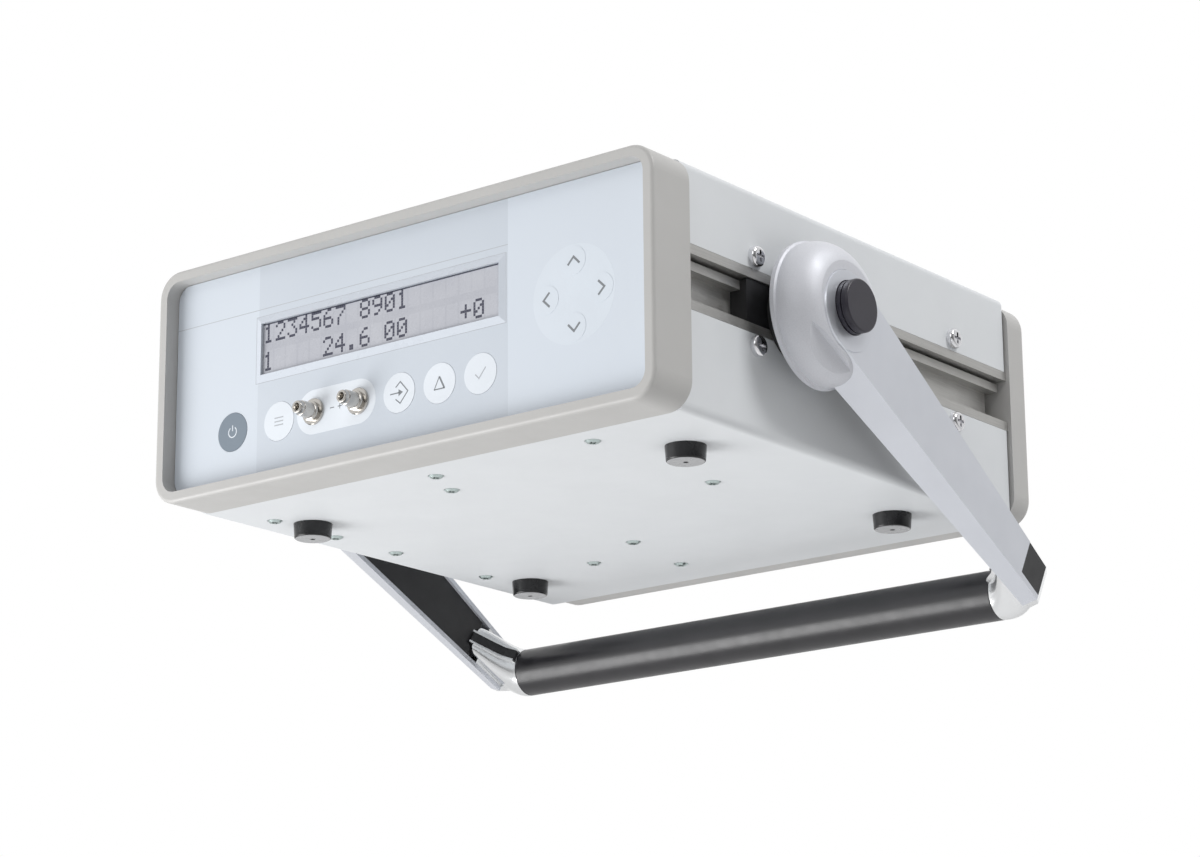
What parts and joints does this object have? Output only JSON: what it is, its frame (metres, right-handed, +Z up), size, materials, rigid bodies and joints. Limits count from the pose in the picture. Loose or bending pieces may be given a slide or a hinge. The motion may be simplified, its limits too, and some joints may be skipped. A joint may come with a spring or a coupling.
{
  "type": "differential pressure calibrator",
  "caption": "Bench differential-pressure instrument: light grey case with framed keypad front, text display, hose nipples, rubber feet and a swing handle with push-button locks.",
  "frame": {"origin": "bottom centre of the whole part's box, below the middle of the case at the level of the handle grip's underside", "axes": "+X to the right seen from the front, +Y from the front to the back, +Z up"},
  "size_m": [0.2892, 0.2456, 0.1304],
  "materials": {
    "frame_paint": "satin warm grey paint",
    "cover_paint": "fine light grey powder coat",
    "rail_aluminium": "satin anodised",
    "foot_rubber": "moulded black rubber",
    "screw_steel": "bright nickel plate",
    "standoff_brass": "turned",
    "membrane_film": "pale blue-grey polyester film",
    "panel_aluminium": "brushed, light grey",
    "bezel_plastic": "pale grey moulded",
    "display_glass": "polished",
    "display_metal": "pressed tray and liquid-crystal cell",
    "circuit_board": "green solder mask",
    "port_nickel": "nickel plated",
    "transformer_steel": "varnished laminations",
    "sensor_plastic": "moulded",
    "silicone_hose": "translucent silicone",
    "inlet_plastic": "moulded black",
    "connector_metal": "tinned steel shell",
    "terminal_brass": "nickel-plated brass",
    "block_plastic": "black glass-filled nylon",
    "bolt_steel": "zinc plated",
    "hub_paint": "silver metallic paint",
    "arm_aluminium": "satin silver anodised",
    "corner_casting": "polished casting",
    "grip_black": "black satin",
    "button_black": "black moulded",
    "power_key_film": "blue-grey printed film",
    "key_film": "whitish printed film"
  },
  "bodies": {
    "case": {"board_standoffs": "standoff_brass", "bottom_cover": "cover_paint", "bottom_screws": "screw_steel", "detent_ring_left": "block_plastic", "detent_ring_right": "block_plastic", "display_bezel": "bezel_plastic", "display_glass": "display_glass", "display_module": "display_metal", "earth_terminal": "terminal_brass", "foot_screws": "screw_steel", "front_frame": "frame_paint", "front_membrane": "membrane_film", "front_panel": "panel_aluminium", "groove_block_left": "block_plastic", "groove_block_right": "block_plastic", "hose_port_left": "port_nickel", "hose_port_right": "port_nickel", "inner_hoses": "silicone_hose", "keypad_board": "circuit_board", "main_board": "circuit_board", "mains_inlet": "inlet_plastic", "pivot_bolt_left": "bolt_steel", "pivot_bolt_right": "bolt_steel", "port_nuts": "port_nickel", "power_supply_board": "circuit_board", "pressure_sensor": "sensor_plastic", "rear_frame": "frame_paint", "rear_panel": "panel_aluminium", "rear_screws": "screw_steel", "rubber_feet": "foot_rubber", "serial_connector": "connector_metal", "side_rail_left": "rail_aluminium", "side_rail_right": "rail_aluminium", "side_screws": "screw_steel", "top_cover": "cover_paint", "transformer": "transformer_steel", "zero_valve": "sensor_plastic"},
    "handle": {"handle_arm_left": "arm_aluminium", "handle_arm_right": "arm_aluminium", "handle_hub_left": "hub_paint", "handle_hub_right": "hub_paint", "grip_corner_left": "corner_casting", "grip_corner_right": "corner_casting", "handle_grip": "grip_black", "arm_inserts": "grip_black", "corner_caps": "grip_black", "corner_strips": "grip_black", "release_spring_left": "bolt_steel", "release_spring_right": "bolt_steel"},
    "release_button_left": {"release_button_left": "button_black"},
    "release_button_right": {"release_button_right": "button_black"},
    "power_key": {"power_key": "power_key_film"},
    "menu_key": {"menu_key": "key_film"},
    "enter_key": {"enter_key": "key_film"},
    "range_key": {"range_key": "key_film"},
    "test_key": {"test_key": "key_film"},
    "up_key": {"up_key": "key_film"},
    "down_key": {"down_key": "key_film"},
    "left_key": {"left_key": "key_film"},
    "right_key": {"right_key": "key_film"}
  },
  "joints": [
    {"name": "handle_swing", "type": "hinge", "parent": "case", "child": "handle", "pos_m": [0, -0.0344, 0.08647], "axis": [1, 0, 0], "range_deg": [-308, 6.5]},
    {"name": "release_button_left_press", "type": "slide", "parent": "handle", "child": "release_button_left", "axis": [1, 0, 0], "range_m": [0, 0.003], "stiffness_N_per_m": 600, "springref_m": -0.003, "deforming": ["release_spring_left"]},
    {"name": "release_button_right_press", "type": "slide", "parent": "handle", "child": "release_button_right", "axis": [-1, 0, 0], "range_m": [0, 0.003], "stiffness_N_per_m": 600, "springref_m": -0.003, "deforming": ["release_spring_right"]},
    {"name": "power_key_press", "type": "slide", "parent": "case", "child": "power_key", "axis": [0, 1, 0], "range_m": [0, 0.0005], "stiffness_N_per_m": 2000, "springref_m": -0.0003},
    {"name": "menu_key_press", "type": "slide", "parent": "case", "child": "menu_key", "axis": [0, 1, 0], "range_m": [0, 0.0005], "stiffness_N_per_m": 2000, "springref_m": -0.0003},
    {"name": "enter_key_press", "type": "slide", "parent": "case", "child": "enter_key", "axis": [0, 1, 0], "range_m": [0, 0.0005], "stiffness_N_per_m": 2000, "springref_m": -0.0003},
    {"name": "range_key_press", "type": "slide", "parent": "case", "child": "range_key", "axis": [0, 1, 0], "range_m": [0, 0.0005], "stiffness_N_per_m": 2000, "springref_m": -0.0003},
    {"name": "test_key_press", "type": "slide", "parent": "case", "child": "test_key", "axis": [0, 1, 0], "range_m": [0, 0.0005], "stiffness_N_per_m": 2000, "springref_m": -0.0003},
    {"name": "up_key_press", "type": "slide", "parent": "case", "child": "up_key", "axis": [0, 1, 0], "range_m": [0, 0.0005], "stiffness_N_per_m": 2000, "springref_m": -0.0003},
    {"name": "down_key_press", "type": "slide", "parent": "case", "child": "down_key", "axis": [0, 1, 0], "range_m": [0, 0.0005], "stiffness_N_per_m": 2000, "springref_m": -0.0003},
    {"name": "left_key_press", "type": "slide", "parent": "case", "child": "left_key", "axis": [0, 1, 0], "range_m": [0, 0.0005], "stiffness_N_per_m": 2000, "springref_m": -0.0003},
    {"name": "right_key_press", "type": "slide", "parent": "case", "child": "right_key", "axis": [0, 1, 0], "range_m": [0, 0.0005], "stiffness_N_per_m": 2000, "springref_m": -0.0003}
  ]
}
